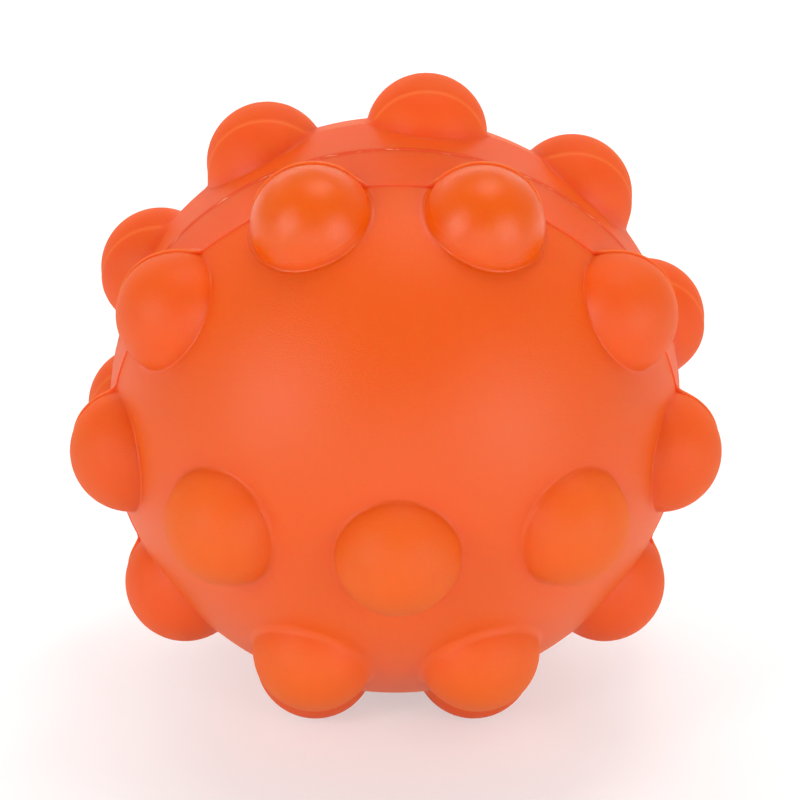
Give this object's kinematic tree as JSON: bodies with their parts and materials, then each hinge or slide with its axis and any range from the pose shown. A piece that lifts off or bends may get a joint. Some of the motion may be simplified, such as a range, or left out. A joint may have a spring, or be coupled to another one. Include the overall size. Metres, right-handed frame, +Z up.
{
  "type": "sensory ball",
  "caption": "Hollow soft ball for babies to grip and squeeze, with large domed nubs all round, made of two bonded half shells with a drafted belt along the seam.",
  "frame": {"origin": "centre of the ball, where the axis through its two poles crosses the seam plane", "axes": "+Z up as the ball rests on three nubs; the front shell's pole faces -Y, tipped down by 3.5 degrees; +X to the right as seen from the front"},
  "size_m": [0.0956, 0.0998, 0.0948],
  "materials": {
    "vinyl": "satin soft vinyl, slightly translucent, bright orange",
    "bond": "semi-gloss clear-orange adhesive, flecked"
  },
  "bodies": {
    "root": {"front_shell": "vinyl", "rear_shell": "vinyl", "seam_bond": "bond"}
  },
  "joints": []
}
